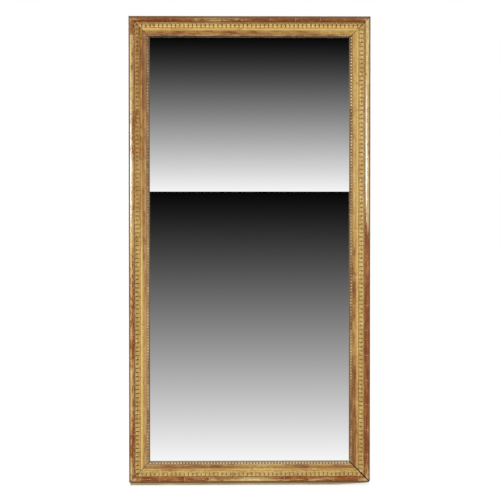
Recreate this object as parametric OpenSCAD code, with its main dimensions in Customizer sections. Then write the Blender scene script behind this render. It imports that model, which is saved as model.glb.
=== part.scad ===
// Giltwood pier mirror with two looking-glass plates.
// A pine carcass carries four rows of gilded mouldings: an outer torus, a band of
// carved leaves and darts, a hollow, and a row of pearls at the sight edge.
// X runs to the right as seen from the front, the front faces -Y and Z is up.
// The origin is at the bottom centre of the plane that lies against the wall.

/* [Overall] */
// Width over the gilded mouldings
frame_w = 796; // [640:1:1000]
// Height over the gilded mouldings, without the base strip
frame_h = 1536; // [1300:1:1900]
// Height of the upper plate that shows between the mouldings
upper_sight_h = 507.5; // [350:0.5:650]

/* [Torus moulding] */
// Width of the outer torus
torus_w = 19; // [16:0.1:21]
// Height of the torus above the carcass
torus_h = 22; // [20:0.1:26]
// Overhang of the round past the foot of the torus strip, on each side
torus_overhang = 0.8; // [0.5:0.1:1.2]

/* [Leaf moulding] */
// Width of the open quirk between torus and leaves
quirk_w = 1; // [0.5:0.1:3]
// Drop from the underside of the torus's round to the quirk's floor
quirk_drop = 0.5; // [0.3:0.1:1.5]
// Width of the band that holds the leaves
leaf_band_w = 19; // [17:0.1:22]
// Height of the band's ground at its outer edge
leaf_outer_h = 14.5; // [13:0.1:16]
// Height of the band's ground at its inner edge
leaf_inner_h = 9.5; // [8.5:0.1:11]
// Nominal distance from leaf to leaf
leaf_pitch = 13.9; // [12.5:0.1:17]
// Overlap of neighbouring leaves beside the eye that is drilled between them
leaf_overlap = 0.6; // [0.4:0.1:1.2]
// Distance from the outer edge of the band to the middle of the eyes
eye_offset = 7.6; // [6:0.1:9]
// Diameter of the eyes
eye_d = 4.6; // [3:0.1:5]
// Height of the floor of the eyes above the carcass
eye_floor_h = 8.5; // [6:0.1:9]
// Plain ground between the tips of the leaves and the inner edge of the band
leaf_margin = 1; // [0.4:0.1:1.5]
// Length that is cut off the point of each leaf
leaf_blunt = 1; // [0.5:0.1:2]
// Rise of a leaf's rib above the ground
leaf_rib_h = 3.4; // [2.4:0.1:4.2]
// Rise of a leaf's edge above the ground
leaf_edge_h = 1.2; // [0.8:0.1:1.8]
// Width of a dart at its foot
dart_w = 3.4; // [2:0.1:4]
// Width of a dart at its point
dart_point_w = 0.6; // [0.4:0.1:1.2]
// Length of a dart
dart_len = 5.5; // [4:0.1:6]
// Rise of a dart's rib above the ground
dart_rib_h = 2.2; // [1.6:0.1:3]

/* [Hollow moulding] */
// Width of the flat fillet beside the leaves
fillet_w = 6; // [4:0.1:9]
// Height of the fillet above the carcass
fillet_h = 12.3; // [11.5:0.1:13.5]
// Width of the hollow
hollow_w = 13.5; // [12:0.1:18]
// Height of the hollow where it meets the pearls
hollow_foot_h = 6; // [5:0.1:7.5]
// Radius of the hollow
hollow_r = 16; // [12:0.1:24]
// Thickness of the lip that laps over the glass
lip_t = 3; // [2:0.1:4]

/* [Pearl moulding] */
// Width of the pearl strip
pearl_strip_w = 10.5; // [10:0.1:13]
// Thickness of the pearl strip's bed
pearl_bed_t = 2.4; // [1.6:0.1:3.2]
// Diameter of a pearl
pearl_d = 7.4; // [6.5:0.1:8]
// Nominal distance from pearl to pearl
pearl_pitch = 10; // [9:0.1:14]
// Depth that each pearl is sunk in the bed
pearl_sink = 2.6; // [2:0.1:3]
// Width of the slanted edge beside the glass
sight_bevel_w = 2.8; // [1.5:0.1:3]
// Height of the slanted edge
sight_bevel_h = 2; // [1:0.1:2.2]

/* [Mitres] */
// Gap at the three close mitres
mitre_gap = 0.3; // [0.1:0.1:1]
// Gap at the mitre that has opened, at the bottom right
open_mitre_gap = 2.5; // [0.1:0.1:3.5]

/* [Carcass] */
// Thickness of the pine carcass
carcass_t = 26; // [24:0.5:34]
// Step from the gilded edge in to the carcass's edge
carcass_inset = 1.5; // [0.5:0.1:4]
// Width of the lap of the mouldings over the glass
glass_lap = 9.5; // [6:0.1:14]
// Width of the rebate for the backboards
rebate_w = 12; // [10:0.5:16]
// Depth of the rebate for the backboards
rebate_d = 12; // [11:0.5:14]
// Diameter of the wooden pegs in the corner laps
peg_d = 9; // [6:0.5:12]
// Distance of each peg from the middle of its corner, along X and Z
peg_offset = 13; // [9:0.5:15]
// Clearance round every peg, nail and screw
fastener_clearance = 0.05; // [0.03:0.01:0.2]

/* [Glass] */
// Thickness of the looking-glass plates
glass_t = 5; // [3:0.5:7]
// Clearance round the plates, in the carcass and between the two
glass_clearance = 0.5; // [0.2:0.1:1.5]
// Length of a glazing block
block_len = 40; // [25:1:60]
// Width of a glazing block on the glass
block_w = 11; // [8:0.5:16]
// Largest distance from one glazing block to the next
block_spacing = 220; // [150:5:320]

/* [Backboards] */
// Number of backboards
board_count = 8; // [6:1:10]
// Thickness of the backboards
board_t = 10; // [8:0.5:10.5]
// Width of the lapped edge where two boards meet
board_lap = 8; // [5:0.5:12]
// Clearance round the set of boards and in their laps
board_clearance = 0.5; // [0.2:0.1:1.5]
// Chamfer along the back of each board
board_chamfer = 2; // [1:0.5:4]
// Diameter of the shank of a board nail
nail_d = 2.4; // [1.6:0.1:3]
// Length of a board nail under its head
nail_len = 20; // [15:0.5:21]
// Diameter of the head of a board nail
nail_head_d = 7; // [5:0.1:9]
// Height of the head of a board nail
nail_head_h = 1.5; // [0.8:0.1:1.8]
// Distance of a board nail from the board's middle
nail_offset = 48; // [30:1:60]

/* [Base strip] */
// Height of the pine strip under the bottom moulding
base_h = 9; // [5:0.5:16]
// Depth of the base strip
base_d = 40; // [30:0.5:44]
// Step from the gilded edge in to the end of the base strip
base_inset = 4; // [1:0.5:12]
// Length of the worn taper at the right end of the strip
base_taper_len = 100; // [40:5:160]
// Height of the strip that is left at the tapered end
base_taper_h = 2; // [1:0.5:4]
// Number of nails in the base strip
base_nail_count = 5; // [3:1:8]
// Distance of the outer nails from the ends of the strip
base_nail_margin = 120; // [110:5:200]
// Length of a base nail under its head
base_nail_len = 28; // [20:1:34]

/* [Hangers] */
// Height of the hanger's hinge above the bottom of the base strip
hanger_z = 1190; // [900:5:1260]
// Distance of the hanger from the inner edge of its stile
hanger_inset = 36; // [34:0.5:38]
// Diameter of the ring's wire
ring_wire_d = 4; // [3:0.1:5]
// Clear width inside the ring
ring_inner_w = 20; // [18:0.5:22]
// Length of the straight legs of the ring
ring_leg = 5; // [3:0.5:10]
// Radius of the ring's corners at the middle of the wire
ring_corner_r = 3; // [2.6:0.1:4]
// Running clearance round the wire in the barrel
hinge_clearance = 0.08; // [0.05:0.01:0.1]
// Thickness of the strap
strap_t = 1.8; // [1.2:0.1:2.4]
// Width of the strap
strap_w = 20; // [16:0.5:24]
// Length of the strap below the hinge
strap_len = 54; // [44:1:70]
// Gap between the strap's shoulders and its barrel
shoulder_gap = 1; // [0.5:0.5:3]
// Length of the barrel along the hinge
barrel_len = 12; // [8:0.5:13]
// Rise of the barrel off the pocket's floor
barrel_lift = 0.4; // [0.3:0.1:0.8]
// Depth of the pocket that is let in to the stile
pocket_d = 10.5; // [10:0.5:12]
// Room round the hanger in its pocket
pocket_room = 2; // [1:0.5:3]
// Diameter of the screw's shank
screw_d = 3.6; // [3:0.1:4]
// Diameter of the screw's head
screw_head_d = 7; // [6:0.1:8]
// Height of the cone of the screw's head
screw_head_h = 1.6; // [1.2:0.1:1.7]
// Length of a hanger screw
screw_len = 14; // [10:0.5:15]
// Width of the slot in the screw's head
screw_slot_w = 1; // [0.6:0.1:1.4]
// Depth of the slot in the screw's head
screw_slot_d = 0.7; // [0.4:0.1:0.9]
// Distance from the end of the strap to the first screw
screw_margin = 8; // [6:0.5:12]
// Distance from screw to screw
screw_pitch = 22; // [16:1:26]

/* [Hidden] */
$fn = 48;
SIDES = ["top", "bottom", "left", "right"];
HANDS = ["left", "right"];
cut = 1; // how far a cutting shape runs past the face that it cuts

// Widths of the mouldings, measured inward from the gilded edge.
torus_foot = torus_w - torus_overhang;
torus_r = torus_w / 2;
torus_foot_r = torus_r - torus_overhang;
round_low = torus_h - torus_r - sqrt(torus_r * torus_r - torus_foot_r * torus_foot_r);
quirk_h = round_low - quirk_drop; // the quirk's floor runs under the round
leaf_start = torus_w + quirk_w;
leaf_end = leaf_start + leaf_band_w;
leaf_slope = atan((leaf_outer_h - leaf_inner_h) / leaf_band_w);
leaf_ground_skin = 0.2; // least rise of a dart's edge above the ground
eye_line = leaf_start + eye_offset;
hollow_start = leaf_end + fillet_w;
hollow_end = hollow_start + hollow_w;
moulding_w = hollow_end + pearl_strip_w;

// Heights and depths of the whole.
frame_bottom = base_h;
frame_mid = base_h + frame_h / 2;
frame_top = base_h + frame_h;
front_y = -carcass_t; // front of the carcass and back of the mouldings

// The carcass: its outer edge, its opening and the rebate round it.
carcass_half_w = frame_w / 2 - carcass_inset;
carcass_bottom = frame_bottom;
carcass_top = frame_top - carcass_inset;
opening_half_w = frame_w / 2 - moulding_w + glass_lap;
opening_bottom = frame_bottom + moulding_w - glass_lap;
opening_top = frame_top - moulding_w + glass_lap;
rebate_half_w = opening_half_w + rebate_w;
rebate_bottom = opening_bottom - rebate_w;
rebate_top = opening_top + rebate_w;
stile_w = carcass_half_w - opening_half_w;
stile_x = (carcass_half_w + opening_half_w) / 2;
lap_y = -carcass_t / 2; // the stiles hold the front of each corner lap, the rails the back

// The plates meet where the upper one ends.
plate_joint = frame_top - moulding_w - upper_sight_h;

// Backboards.
board_h = (rebate_top - rebate_bottom) / board_count;
board_back_y = -rebate_d + board_t;
board_len = 2 * (rebate_half_w - board_clearance);

// Hangers.
hanger_x = opening_half_w + hanger_inset;
wire_r = ring_wire_d / 2;
ring_half_w = ring_inner_w / 2 + wire_r;
barrel_r = wire_r + hinge_clearance + strap_t;
hinge_y = -pocket_d + barrel_lift + barrel_r;
shoulder_h = barrel_r + shoulder_gap;
ring_reach = ring_corner_r + ring_leg + ring_half_w + wire_r;

function side_angle(side) =
    side == "bottom" ? 0 : side == "right" ? 90 : side == "top" ? 180 : 270;
function is_level(side) = side == "top" || side == "bottom";
function side_len(side) = is_level(side) ? frame_w : frame_h;
function side_reach(side) = (is_level(side) ? frame_h : frame_w) / 2;
// How far a strip stops short of the mitre's plane, measured along the strip.
function mitre_back(side, end) =
    ((side == "bottom" && end > 0) || (side == "right" && end < 0)
        ? open_mitre_gap : mitre_gap) / sqrt(2);
// How many copies at about the given pitch fit in a run, and their true pitch.
function copies(run, pitch) = max(1, floor(run / pitch));
function hand_sign(hand) = hand == "left" ? -1 : 1;

// ---- Mouldings -------------------------------------------------------------
// A strip is drawn in its own frame: X along it, Y inward from the gilded edge
// and Z forward from the carcass.

module on_side(side) {
    translate([0, front_y, frame_mid])
        rotate([90, 0, 0])
            rotate([0, 0, side_angle(side)])
                translate([0, -side_reach(side), 0])
                    children();
}

module along(length) {
    translate([-length / 2, 0, 0])
        rotate([90, 0, 90])
            linear_extrude(length)
                children();
}

module between_mitres(side) {
    half = side_len(side) / 2;
    right = half - mitre_back(side, 1);
    left = half - mitre_back(side, -1);
    far = moulding_w + cut;
    intersection() {
        children();
        translate([0, 0, -cut])
            linear_extrude(torus_h + 2 * cut)
                polygon([[-left - cut, -cut], [right + cut, -cut], [right - far, far], [far - left, far]]);
    }
}

module torus_profile() {
    translate([torus_overhang, 0])
        square([torus_w - 2 * torus_overhang, torus_h - torus_r]);
    translate([torus_r, torus_h - torus_r])
        circle(torus_r);
}

module torus_moulding(side) {
    color("goldenrod")
        on_side(side)
            between_mitres(side)
                along(side_len(side))
                    torus_profile();
}

module leaf_ground_profile() {
    polygon([
        [torus_foot, 0], [leaf_end, 0], [leaf_end, leaf_inner_h],
        [leaf_start, leaf_outer_h], [leaf_start, quirk_h], [torus_foot, quirk_h]
    ]);
}

// A pointed oval of the given width and length, made by two crossing circles.
module pointed_oval(width, length) {
    radius = (width * width + length * length) / (4 * width);
    intersection() {
        translate([radius - width / 2, 0]) circle(radius, $fn = 96);
        translate([width / 2 - radius, 0]) circle(radius, $fn = 96);
    }
}

// The outline of the leaves seen from the front: a whole border along the outer
// edge, and a blunt arch for each leaf.
module leaf_plan(count, pitch) {
    tip = leaf_end - leaf_margin;
    half = count * pitch / 2;
    translate([-half, leaf_start])
        square([2 * half, eye_offset]);
    intersection() {
        for (i = [0 : count - 1])
            translate([(i - (count - 1) / 2) * pitch, eye_line])
                pointed_oval(pitch + leaf_overlap, 2 * (tip - eye_line + leaf_blunt));
        translate([-half, leaf_start])
            square([2 * half, tip - leaf_start]);
    }
}

// A roof over the sloping band. Its ridges run across the band, down the slope.
module leaf_roof(ridge_line) {
    first = ridge_line[0];
    last = ridge_line[len(ridge_line) - 1];
    translate([0, leaf_end, leaf_inner_h])
        rotate([90 - leaf_slope, 0, 0])
            translate([0, 0, -cut])
                linear_extrude(leaf_band_w / cos(leaf_slope) + 4 * cut)
                    polygon(concat([[first[0], -leaf_margin]], ridge_line, [[last[0], -leaf_margin]]));
}

// A dart between two leaves, with a ridge, that widens towards the hollow.
module dart(x) {
    foot = leaf_end - leaf_margin;
    half = dart_w / 2;
    translate([x, 0, 0])
        intersection() {
            leaf_roof([[-half, leaf_ground_skin], [0, dart_rib_h], [half, leaf_ground_skin]]);
            upright_relief()
                polygon([[-dart_point_w / 2, foot - dart_len], [dart_point_w / 2, foot - dart_len],
                         [half, foot], [-half, foot]]);
        }
}

module upright_relief() {
    translate([0, 0, leaf_inner_h - 2 * cut])
        linear_extrude(leaf_outer_h + leaf_rib_h - leaf_inner_h + 4 * cut)
            children();
}

module leaf_moulding(side) {
    run = side_len(side) - leaf_start - leaf_end;
    count = copies(run, leaf_pitch);
    pitch = run / count;
    leaf_ridges = [for (i = [0 : 2 * count])
        [(i - count) * pitch / 2, i % 2 == 0 ? leaf_edge_h : leaf_rib_h]];
    color("gold")
        on_side(side)
            between_mitres(side)
                difference() {
                    union() {
                        along(side_len(side))
                            leaf_ground_profile();
                        intersection() {
                            leaf_roof(leaf_ridges);
                            upright_relief()
                                leaf_plan(count, pitch);
                        }
                        for (i = [1 : count - 1])
                            dart((i - count / 2) * pitch);
                    }
                    for (i = [0 : count])
                        translate([(i - count / 2) * pitch, eye_line, eye_floor_h])
                            cylinder(d = eye_d, h = torus_h);
                }
}

module hollow_profile() {
    chord = [hollow_w, hollow_foot_h - fillet_h];
    span = norm(chord);
    sag = sqrt(hollow_r * hollow_r - span * span / 4);
    away = [-chord[1], chord[0]] / span;
    middle = [hollow_start, fillet_h] + chord / 2 + away * sag;
    difference() {
        translate([leaf_end, 0])
            square([fillet_w + hollow_w, fillet_h]);
        translate(middle)
            circle(hollow_r, $fn = 96);
    }
    translate([hollow_end - cut, 0])
        square([pearl_strip_w + cut, lip_t]);
}

module hollow_moulding(side) {
    color("darkgoldenrod")
        on_side(side)
            between_mitres(side)
                along(side_len(side))
                    hollow_profile();
}

module pearl_bed_profile() {
    polygon([[hollow_end, lip_t], [moulding_w, lip_t], [moulding_w, lip_t + pearl_bed_t - sight_bevel_h],
             [moulding_w - sight_bevel_w, lip_t + pearl_bed_t], [hollow_end, lip_t + pearl_bed_t]]);
}

module pearl_moulding(side) {
    middle = hollow_end + (pearl_strip_w - sight_bevel_w) / 2;
    run = side_len(side) - 2 * middle - pearl_d;
    count = copies(run, pearl_pitch);
    pitch = run / count;
    color("khaki")
        on_side(side) {
            between_mitres(side)
                along(side_len(side))
                    pearl_bed_profile();
            for (i = [0 : count - 1])
                translate([(i - (count - 1) / 2) * pitch, middle, lip_t + pearl_bed_t])
                    pearl();
        }
}

// A pearl stands on the bed and is flat where it is sunk.
module pearl() {
    rotate_extrude($fn = 24)
        intersection() {
            translate([0, pearl_d / 2 - pearl_sink])
                circle(pearl_d / 2, $fn = 24);
            square(pearl_d);
        }
}

// ---- Carcass ---------------------------------------------------------------

module peg_holes(clearance = fastener_clearance) {
    lower_z = (carcass_bottom + opening_bottom) / 2;
    upper_z = (carcass_top + opening_top) / 2;
    for (x = [-stile_x, stile_x], z = [lower_z, upper_z], step = [-peg_offset, peg_offset])
        translate([x + step, cut, z + step * sign(x) * sign(z - frame_mid)])
            rotate([90, 0, 0])
                cylinder(d = peg_d + 2 * clearance, h = carcass_t + 2 * cut);
}

module corner_pegs() {
    color("peru")
        intersection() {
            peg_holes(0);
            translate([-frame_w / 2, -carcass_t, 0])
                cube([frame_w, carcass_t, frame_top]);
        }
}

module board_rebate() {
    translate([-rebate_half_w, -rebate_d, rebate_bottom])
        cube([2 * rebate_half_w, rebate_d + cut, rebate_top - rebate_bottom]);
}

module carcass_rail(bottom, top) {
    difference() {
        translate([-carcass_half_w, -carcass_t, bottom])
            cube([2 * carcass_half_w, carcass_t, top - bottom]);
        for (end = [-1, 1])
            translate([end * stile_x, lap_y - carcass_t / 2, (bottom + top) / 2])
                cube([stile_w, carcass_t, top - bottom + 2 * cut], center = true);
        board_rebate();
        peg_holes();
        board_nail_holes();
        base_nail_holes();
    }
}

module carcass_stile(hand) {
    middle = hand_sign(hand) * stile_x;
    difference() {
        translate([middle - stile_w / 2, -carcass_t, carcass_bottom])
            cube([stile_w, carcass_t, carcass_top - carcass_bottom]);
        for (ends = [[carcass_bottom - cut, opening_bottom], [opening_top, carcass_top + cut]])
            translate([middle, lap_y / 2 + cut, (ends[0] + ends[1]) / 2])
                cube([stile_w + 2 * cut, -lap_y + 2 * cut, ends[1] - ends[0]], center = true);
        board_rebate();
        peg_holes();
        board_nail_holes();
        hanger_pocket(hand);
        hanger_screw_holes(hand);
    }
}

module carcass(side) {
    color("tan")
        if (side == "top") carcass_rail(opening_top, carcass_top);
        else if (side == "bottom") carcass_rail(carcass_bottom, opening_bottom);
        else carcass_stile(side);
}

// ---- Glass -----------------------------------------------------------------

module mirror_plate(bottom, top) {
    color("silver")
        translate([glass_clearance - opening_half_w, front_y, bottom])
            cube([2 * (opening_half_w - glass_clearance), glass_t, top - bottom]);
}

module upper_mirror_plate() {
    mirror_plate(plate_joint + glass_clearance / 2, opening_top - glass_clearance);
}

module lower_mirror_plate() {
    mirror_plate(opening_bottom, plate_joint - glass_clearance / 2);
}

// A block is glued to the carcass and keeps the glass forward. Its inner edge is
// cut on a slant.
module glazing_block() {
    depth = carcass_t - rebate_d - glass_t;
    translate([0, front_y + glass_t + depth, 0])
        rotate([90, 0, 0])
            linear_extrude(depth)
                polygon([[-block_len / 2, 0], [block_len / 2, 0], [block_len / 2 - block_w / 2, block_w],
                         [block_w / 2 - block_len / 2, block_w]]);
}

module glazing_blocks() {
    opening_mid = (opening_bottom + opening_top) / 2;
    color("burlywood")
        for (side = SIDES) {
            run = is_level(side) ? 2 * opening_half_w : opening_top - opening_bottom;
            reach = is_level(side) ? (opening_top - opening_bottom) / 2 : opening_half_w;
            count = ceil((run - block_spacing) / block_spacing) + 1;
            for (i = [0 : count - 1])
                translate([0, 0, opening_mid])
                    rotate([0, -side_angle(side), 0])
                        translate([(i - (count - 1) / 2) * run / count, 0, -reach])
                            glazing_block();
        }
}

// ---- Backboards ------------------------------------------------------------

// The end of a board, seen along X: its upper edge is lapped at the back, its lower
// edge at the front, and the back is chamfered.
module board_profile(first, last) {
    half_t = board_t / 2;
    low_back = board_clearance;
    low_front = first ? low_back : low_back + board_lap;
    high_back = last ? board_h - board_clearance : board_h;
    high_front = last ? high_back : high_back + board_lap;
    polygon([
        [low_front, 0], [low_front, half_t], [low_back, half_t], [low_back, board_t - board_chamfer],
        [low_back + board_chamfer, board_t], [high_back - board_chamfer, board_t],
        [high_back, board_t - board_chamfer], [high_back, half_t], [high_front, half_t], [high_front, 0]
    ]);
}

module backboard(i) {
    color(i % 2 ? "sienna" : "saddlebrown")
        difference() {
            translate([-board_len / 2, -rebate_d, rebate_bottom + (i - 1) * board_h])
                rotate([90, 0, 90])
                    linear_extrude(board_len)
                        mirror([1, -1])
                            board_profile(i == 1, i == board_count);
            board_nail_holes();
        }
}

module each_board_nail() {
    nail_x = opening_half_w + rebate_w / 2;
    for (x = [-nail_x, nail_x], i = [1 : board_count], step = [-nail_offset, nail_offset])
        translate([x, board_back_y, rebate_bottom + (i - 0.5) * board_h + step])
            rotate([90, 0, 0])
                children();
}

module board_nail_holes() {
    each_board_nail()
        translate([0, 0, -cut])
            cylinder(d = nail_d + 2 * fastener_clearance, h = nail_len + fastener_clearance + cut);
}

module nail(length) {
    cylinder(d = nail_d, h = length);
    translate([0, 0, -nail_head_h])
        cylinder(d1 = nail_head_d / 2, d2 = nail_head_d, h = nail_head_h);
}

module backboard_nails() {
    color("dimgray")
        each_board_nail()
            nail(nail_len);
}

// ---- Base strip ------------------------------------------------------------

module base_strip() {
    half = frame_w / 2 - base_inset;
    color("lightgray")
        difference() {
            rotate([90, 0, 0])
                linear_extrude(base_d)
                    polygon([[-half, 0], [half - base_taper_len, 0], [half, base_h - base_taper_h],
                             [half, base_h], [-half, base_h]]);
            base_nail_holes();
        }
}

module each_base_nail() {
    reach = frame_w / 2 - base_inset - base_nail_margin;
    for (i = [0 : base_nail_count - 1])
        translate([reach * (2 * i / (base_nail_count - 1) - 1), -carcass_t / 2, 0])
            children();
}

module base_nail_holes() {
    each_base_nail() {
        translate([0, 0, -cut])
            cylinder(d = nail_head_d + 2 * fastener_clearance, h = nail_head_h + fastener_clearance + cut);
        cylinder(d = nail_d + 2 * fastener_clearance, h = nail_head_h + base_nail_len + fastener_clearance);
    }
}

module base_nails() {
    color("dimgray")
        each_base_nail()
            translate([0, 0, nail_head_h])
                nail(base_nail_len);
}

// ---- Hangers ---------------------------------------------------------------

module at_hanger(hand) {
    translate([hand_sign(hand) * hanger_x, 0, hanger_z])
        children();
}

module hanger_pocket(hand) {
    half = max(strap_w / 2, ring_half_w + wire_r) + pocket_room;
    below = strap_len + pocket_room;
    above = ring_reach + pocket_room;
    at_hanger(hand)
        translate([-half, -pocket_d, -below])
            cube([2 * half, pocket_d + cut, below + above]);
}

module each_screw(hand) {
    at_hanger(hand)
        for (i = [0, 1])
            translate([0, strap_t - pocket_d, screw_margin + i * screw_pitch - strap_len])
                rotate([90, 0, 0])
                    children();
}

module hanger_screw_holes(hand) {
    each_screw(hand)
        cylinder(d = screw_d + 2 * fastener_clearance, h = screw_len + fastener_clearance);
}

module hanger_strap(hand) {
    color("darkslategray")
        difference() {
            union() {
                at_hanger(hand) {
                    translate([-strap_w / 2, -pocket_d, -strap_len])
                        cube([strap_w, strap_t, strap_len - shoulder_h]);
                    translate([-barrel_len / 2, -pocket_d, -shoulder_h - cut])
                        cube([barrel_len, strap_t, shoulder_h + cut]);
                    translate([-barrel_len / 2, hinge_y, 0])
                        rotate([0, 90, 0])
                            cylinder(r = barrel_r, h = barrel_len);
                }
            }
            at_hanger(hand)
                translate([-barrel_len / 2 - cut, hinge_y, 0])
                    rotate([0, 90, 0])
                        cylinder(r = wire_r + hinge_clearance, h = barrel_len + 2 * cut);
            each_screw(hand) {
                translate([0, 0, -cut])
                    cylinder(d = screw_d + 2 * fastener_clearance, h = strap_t + 2 * cut);
                countersink(fastener_clearance);
            }
        }
}

// The conical seat of a screw's head, from the face of the strap inward.
module countersink(clearance) {
    translate([0, 0, -clearance])
        cylinder(d1 = screw_head_d + 4 * clearance, d2 = screw_d + 2 * clearance,
                 h = screw_head_h + clearance);
}

module hanger_screws() {
    color("gray")
        for (hand = HANDS)
            each_screw(hand)
                difference() {
                    union() {
                        countersink(0);
                        cylinder(d = screw_d, h = screw_len);
                    }
                    translate([-screw_head_d, -screw_slot_w / 2, -cut])
                        cube([2 * screw_head_d, screw_slot_w, cut + screw_slot_d]);
                }
}

module wire_run(length) {
    cylinder(r = wire_r, h = length);
}

// A bend of the wire in the ring's plane, round the given radius.
module wire_bend(radius, angle) {
    rotate([90, 0, 0])
        rotate_extrude(angle = angle)
            translate([radius, 0])
                circle(wire_r);
}

module hanger_ring(hand) {
    straight = ring_half_w - ring_corner_r;
    color("slategray")
        at_hanger(hand)
            translate([0, hinge_y, 0]) {
                translate([-straight, 0, 0])
                    rotate([0, 90, 0])
                        wire_run(2 * straight);
                for (end = [-1, 1]) {
                    translate([end * ring_half_w, 0, -ring_corner_r - ring_leg])
                        wire_run(ring_leg);
                    translate([end * straight, 0, -ring_corner_r])
                        mirror([end < 0 ? 1 : 0, 0, 0])
                            wire_bend(ring_corner_r, 90);
                }
                translate([0, 0, -ring_corner_r - ring_leg])
                    rotate([0, 180, 0])
                        wire_bend(ring_half_w, 180);
            }
}

// ---- The parts -------------------------------------------------------------

for (side = SIDES) {
    carcass(side);
    torus_moulding(side);
    leaf_moulding(side);
    hollow_moulding(side);
    pearl_moulding(side);
}
for (i = [1 : board_count])
    backboard(i);
for (hand = HANDS) {
    hanger_strap(hand);
    hanger_ring(hand);
}
corner_pegs();
upper_mirror_plate();
lower_mirror_plate();
glazing_blocks();
backboard_nails();
base_strip();
base_nails();
hanger_screws();
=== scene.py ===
import math
from functools import partial

import bpy
import numpy as np
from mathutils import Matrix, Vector


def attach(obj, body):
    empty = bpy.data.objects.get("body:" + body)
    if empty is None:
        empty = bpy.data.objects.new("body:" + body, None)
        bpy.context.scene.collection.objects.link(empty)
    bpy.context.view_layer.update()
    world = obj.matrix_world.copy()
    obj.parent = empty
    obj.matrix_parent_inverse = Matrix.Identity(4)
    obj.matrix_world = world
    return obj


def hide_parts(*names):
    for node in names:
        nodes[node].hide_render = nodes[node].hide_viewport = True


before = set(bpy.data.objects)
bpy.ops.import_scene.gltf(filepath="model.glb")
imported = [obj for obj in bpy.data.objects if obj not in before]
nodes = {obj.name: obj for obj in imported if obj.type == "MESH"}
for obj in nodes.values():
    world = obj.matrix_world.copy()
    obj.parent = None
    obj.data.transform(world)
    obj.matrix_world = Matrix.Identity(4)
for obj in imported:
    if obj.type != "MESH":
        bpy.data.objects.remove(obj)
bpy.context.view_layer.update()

mm = 0.001      # in metres
metre = 1000    # in mm

# Sizes in millimetres, as the solids have them. A run's own frame is: along it, inward from the
# gilded edge, and forward from the carcass.
frameSize = {"width": 796, "height": 1536, "baseHeight": 9, "carcassDepth": 26}
frameMiddle = frameSize["baseHeight"] + frameSize["height"] / 2
mitreGap = {"close": 0.3, "open": 2.5}
sides = ["top", "bottom", "left", "right"]


def sideLength(side):
    return frameSize["width"] if side in ("top", "bottom") else frameSize["height"]


def sideReach(side):  # from the middle of the frame
    return (frameSize["width"] + frameSize["height"] - sideLength(side)) / 2


def endGap(side, end):  # the bottom right mitre has opened
    opened = (side, end) in (("bottom", 1), ("right", -1))
    return mitreGap["open" if opened else "close"] / math.sqrt(2)


def toWorld(side, along, inward, forward):
    depth = -(frameSize["carcassDepth"] + forward)
    reach = sideReach(side) - inward
    x, z = {"bottom": (along, frameMiddle - reach), "right": (reach, frameMiddle + along),
            "top": (-along, frameMiddle + reach), "left": (-reach, frameMiddle - along)}[side]
    return np.stack(np.broadcast_arrays(x, depth, z), -1) * mm


def smooth(value, low, high):
    t = np.clip((value - low) / (high - low), 0, 1)
    return t * t * (3 - 2 * t)


def bell(value, middle, width):
    return np.exp(-((value - middle) / width) ** 2)


def ripple(along, across, lengths, seed):  # a soft unevenness between -1 and 1
    draw = np.random.default_rng(seed)
    total = 0
    for length in lengths:
        turn, phase = draw.uniform(-0.5, 0.5), draw.uniform(0, 2 * math.pi)
        turned = along * math.cos(turn) + across * math.sin(turn)
        total = total + np.sin(2 * math.pi * turned / length + phase)
    return total / len(lengths)


def hexColour(code):  # sRGB to linear
    channels = [int(code[i:i + 2], 16) / 255 for i in (1, 3, 5)]
    return [c / 12.92 if c <= 0.04045 else ((c + 0.055) / 1.055) ** 2.4 for c in channels] + [1]


def addNode(tree, kind, inputs=(), out=0, stops=None, **settings):  # inputs by name, or in a list
    def socket(sockets, key):
        if isinstance(key, int):
            return sockets[key]
        return next(s for s in sockets if s.name == key and s.enabled)

    node = tree.nodes.new("ShaderNode" + kind)
    for key, value in settings.items():
        setattr(node, key, value)
    if stops:
        ramp = node.color_ramp
        while len(ramp.elements) < len(stops):
            ramp.elements.new(1)
        for element, (place, value) in zip(ramp.elements, stops):
            element.position = place
            element.color = (value, value, value, 1)
    for key, value in inputs.items() if isinstance(inputs, dict) else enumerate(inputs):
        if isinstance(value, bpy.types.NodeSocket):
            tree.links.new(value, socket(node.inputs, key))
        else:
            socket(node.inputs, key).default_value = hexColour(value) if isinstance(value, str) else value
    return socket(node.outputs, out) if len(node.outputs) else node


smoothly = {"interpolation_type": "SMOOTHSTEP"}  # settings that many nodes share
inColour = {"data_type": "RGBA", "out": "Result"}


def newMaterial(name):
    material = bpy.data.materials.new(name)
    material.use_nodes = True
    material.node_tree.nodes.clear()
    return material, partial(addNode, material.node_tree)


def addObject(name, data):
    thing = bpy.data.objects.new(name, data)
    bpy.context.scene.collection.objects.link(thing)
    return thing


def paint(thing, material):
    thing.data.materials.clear()
    thing.data.materials.append(material)


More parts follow.
